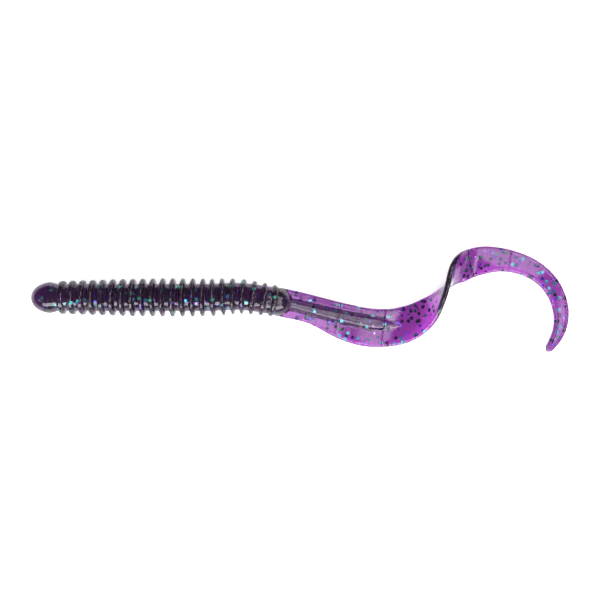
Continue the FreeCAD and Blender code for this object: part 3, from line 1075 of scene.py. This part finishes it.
class Worm:
    """The soft moulding and its flakes, joint by joint."""

    seam_behind_root = -0.42
    seam_gap = 0.01
    bend_share = 0.62
    longest_bend = 6.0
    sprinklings = {
        "green_foil": (
            Sprinkling(FlakeCut.GREEN, 0.12, 16.0, 1.5, 7.0, 0.85, 11),
        ),
        "blue_foil": (
            Sprinkling(FlakeCut.BLUE, 0.16, 8.0, 1.2, 12.0, 0.6, 23),
            Sprinkling(FlakeCut.DUST, 0.08, 34.0, 0.5, 25.0, 0.6, 37),
        ),
    }

    def __init__(self, spine: Spine) -> None:
        """Prepares the makers of the body, the tail and the flakes.

        Args:
            spine: the line that the worm follows.
        """
        self.spine = spine
        self.body, self.tail, self.flakes = RibbedBody(spine), RibbonTail(spine), FoilFlakes()
        self.plastics = {maker: SoftPlastic(name, strength=strength).material()
                         for maker, name, strength in ((self.body, "body_plastic", 1400.0),
                                                       (self.tail, "tail_plastic", 1850.0))}
        surface = FoilSurface()
        self.foils = {foil.name: foil.material(surface) for foil in (GREEN_FOIL, BLUE_FOIL)}

    def stretches(self) -> Iterator[Stretch]:
        """The stretches from nose to tail tip."""
        joints = [0.0, *self.spine.joints, self.spine.end]
        seams = [(a + b) / 2 for a, b in zip(joints, joints[1:])]
        seams[0], seams[-1] = 0.0, self.spine.end
        seams[len(self.spine.body_joints)] = self.spine.root + self.seam_behind_root
        for number, joint in enumerate(frame["joints"]):
            start, end = seams[number], seams[number + 1]
            start += self.seam_gap if start > 0 else 0.0
            end -= self.seam_gap if end < self.spine.end else 0.0
            yield Stretch(number, joint["parent"], joint["child"], start, joints[number + 1], end)

    def surface(self, stretch: Stretch, inset: float) -> bpy.types.Mesh:
        """The closed surface of a stretch, or one that lies under it."""
        maker = self.tail if stretch.start >= self.spine.root + self.seam_behind_root else self.body
        plastic = self.plastics[maker] if inset == 0.0 else None
        return maker.mesh(stretch.start, stretch.end, inset, plastic)

    def bend(self, piece: bpy.types.Object, stretch: Stretch) -> None:
        """Bakes a piece's place into its mesh; the span it would bend over is worked out but not used.

        Args:
            piece: the finished piece.
            stretch: where it belongs.
        """
        middle, tangent, _, _ = self.spine.frames(np.array([stretch.joint]))
        reach = min(stretch.joint - stretch.start, stretch.end - stretch.joint, self.longest_bend)
        reach *= self.bend_share
        start = (middle[0] - tangent[0] * reach) * MM
        end = (middle[0] + tangent[0] * reach) * MM
        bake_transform(piece)

    def make(self) -> None:
        """Builds every stretch with its flakes."""
        made = list(self.stretches())
        for stretch in made:
            skin = place_piece(f"plastic_{stretch.name}", self.surface(stretch, 0.0))
            self.bend(skin, stretch)
            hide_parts(stretch.front)
            if stretch is made[-1]:
                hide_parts(stretch.rear)
            LOG.info("%s: %d faces", skin.name, len(skin.data.polygons))
            self.sprinkle(stretch)

    def sprinkle(self, stretch: Stretch) -> None:
        """Lays the flakes of one stretch.

        Args:
            stretch: where they go.
        """
        for slot_name, lays in self.sprinklings.items():
            meshes = []
            for lay in lays:
                bed = self.surface(stretch, lay.depth)
                meshes.append(self.flakes.mesh(bed, lay, self.foils[slot_name], stretch.number))
            piece = place_piece(f"{slot_name}_{stretch.name}", join_meshes(meshes))
            self.bend(piece, stretch)
            LOG.info("%s: %d faces", piece.name, len(piece.data.polygons))

    def dress_cast_nodes(self) -> None:
        """Gives the flakes of the frame their foil."""
        for name, node in frame["nodes"].items():
            for colour, foil in (("green", "green_foil"), ("blue", "blue_foil")):
                if name.startswith(f"{colour}_flakes_"):
                    node.data.materials.clear()
                    node.data.materials.append(self.foils[foil])


def join_meshes(meshes: list[bpy.types.Mesh]) -> bpy.types.Mesh:
    """One mesh from several with the same material.

    Args:
        meshes: the meshes.

    Returns:
        The first if there is only one, otherwise all of them joined.
    """
    if len(meshes) == 1:
        return meshes[0]
    holders = [add_object("part", mesh) for mesh in meshes]
    with bpy.context.temp_override(active_object=holders[0], selected_editable_objects=holders,
                                   selected_objects=holders, object=holders[0]):
        bpy.ops.object.join()
    mesh = holders[0].data
    bpy.data.objects.remove(holders[0])
    return mesh


# ---- studio ----
@dataclass(frozen=True)
class Softbox:
    """A soft light that points at the worm."""

    name: str
    place: tuple[float, float, float]
    width: float
    height: float
    power: float

    def light(self) -> None:
        """Adds the light to the scene."""
        lamp = bpy.data.lights.new(self.name, "AREA")
        lamp.shape = "RECTANGLE"
        lamp.size, lamp.size_y, lamp.energy = self.width, self.height, self.power
        holder = add_object(self.name, lamp)
        holder.location = self.place
        holder.rotation_euler = (-Vector(self.place)).to_track_quat("-Z", "Y").to_euler()


class Studio:
    """Pale floor, soft lights and the camera."""

    softboxes = (
        Softbox("front_softbox", (0.0, -0.46, 0.33), 0.9, 0.28, 7.0),
        Softbox("tail_panel", (0.115, -0.0625, 0.25), 0.20, 0.155, 0.42),
        Softbox("curl_panel", (0.15, 0.13, 0.25), 0.13, 0.22, 0.36),
        Softbox("left_softbox", (-0.62, -0.2, 0.42), 0.2, 0.2, 0.6),
    )
    floor_size = 2.4
    floor_glow = 0.68
    floor_roughness = 0.9
    floor_cloud = (3.0, 2.0)     # scale and detail
    floor_tones = ((0.90, 0.90, 0.90, 1.0), (0.92, 0.92, 0.92, 1.0))
    level_glow, upward_glow, seen_glow = 0.2, -0.1, 0.9
    camera_place = (-0.00068, -0.000195, 0.216)
    lens = 53.25

    def make(self) -> None:
        """Builds the floor, the lights, the surroundings and the camera."""
        self.make_floor()
        for softbox in self.softboxes:
            softbox.light()
        self.make_surroundings()
        self.make_camera()
        bpy.context.scene.view_settings.view_transform = "Standard"

    def make_floor(self) -> None:
        """A wide pale floor under the worm."""
        half = self.floor_size / 2
        corners = [(x * half, y * half, 0) for x, y in ((-1, -1), (1, -1), (1, 1), (-1, 1))]
        mesh = bpy.data.meshes.new("floor")
        mesh.from_pydata(corners, [], [(0, 1, 2, 3)])
        made, tree, shader = new_material("pale_floor")
        shader.inputs["Roughness"].default_value = self.floor_roughness
        shader.inputs["Emission Color"].default_value = (1.0, 1.0, 1.0, 1.0)
        shader.inputs["Emission Strength"].default_value = self.floor_glow
        cloud = noise(tree, *self.floor_cloud)
        feed(tree, shader.inputs["Base Color"], mixed(tree, cloud, *self.floor_tones))
        mesh.materials.append(made)
        place_piece("floor", mesh)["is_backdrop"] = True

    def make_surroundings(self) -> None:
        """Pale surroundings, dimmer overhead."""
        world = bpy.data.worlds.new("studio")
        world.use_nodes = True
        bpy.context.scene.world = world
        tree = world.node_tree
        where = add_node(tree, "ShaderNodeTexCoord")
        apart = add_node(tree, "ShaderNodeSeparateXYZ", Vector=where.outputs["Generated"])
        height = Field(tree, apart.outputs["Z"]).between(0.0, 1.0)
        glow = height.math("MULTIPLY_ADD", self.upward_glow, self.level_glow)
        path = add_node(tree, "ShaderNodeLightPath")
        seen = Field(tree, path.outputs["Is Camera Ray"])
        backdrop = tree.nodes["Background"]
        extra = glow.math("MULTIPLY_ADD", -1.0, self.seen_glow) * seen
        feed(tree, backdrop.inputs["Strength"], glow + extra)
        backdrop.inputs["Color"].default_value = (1.0, 1.0, 1.0, 1.0)

    def make_camera(self) -> None:
        """A camera that looks straight down."""
        lens = bpy.data.cameras.new("camera")
        lens.lens = self.lens
        lens.clip_start = MM
        holder = add_object("camera", lens)
        holder.location = self.camera_place
        bpy.context.scene.camera = holder


def main() -> None:
    """Builds the worm in its studio."""
    logging.basicConfig(level=logging.INFO, format="%(message)s")
    Studio().make()
    nose_tip = next(m["pos_m"] for m in frame["record"]["mounts"] if m["name"] == "nose_face")
    worm = Worm(Spine(Ribs(), Web(), nose_tip))
    worm.make()
    worm.dress_cast_nodes()
    boxes = {"cad": cast_box, "visual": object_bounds()}
    {name: [list(corner) for corner in box] for name, box in boxes.items()}


if __name__ == "__main__":
    main()
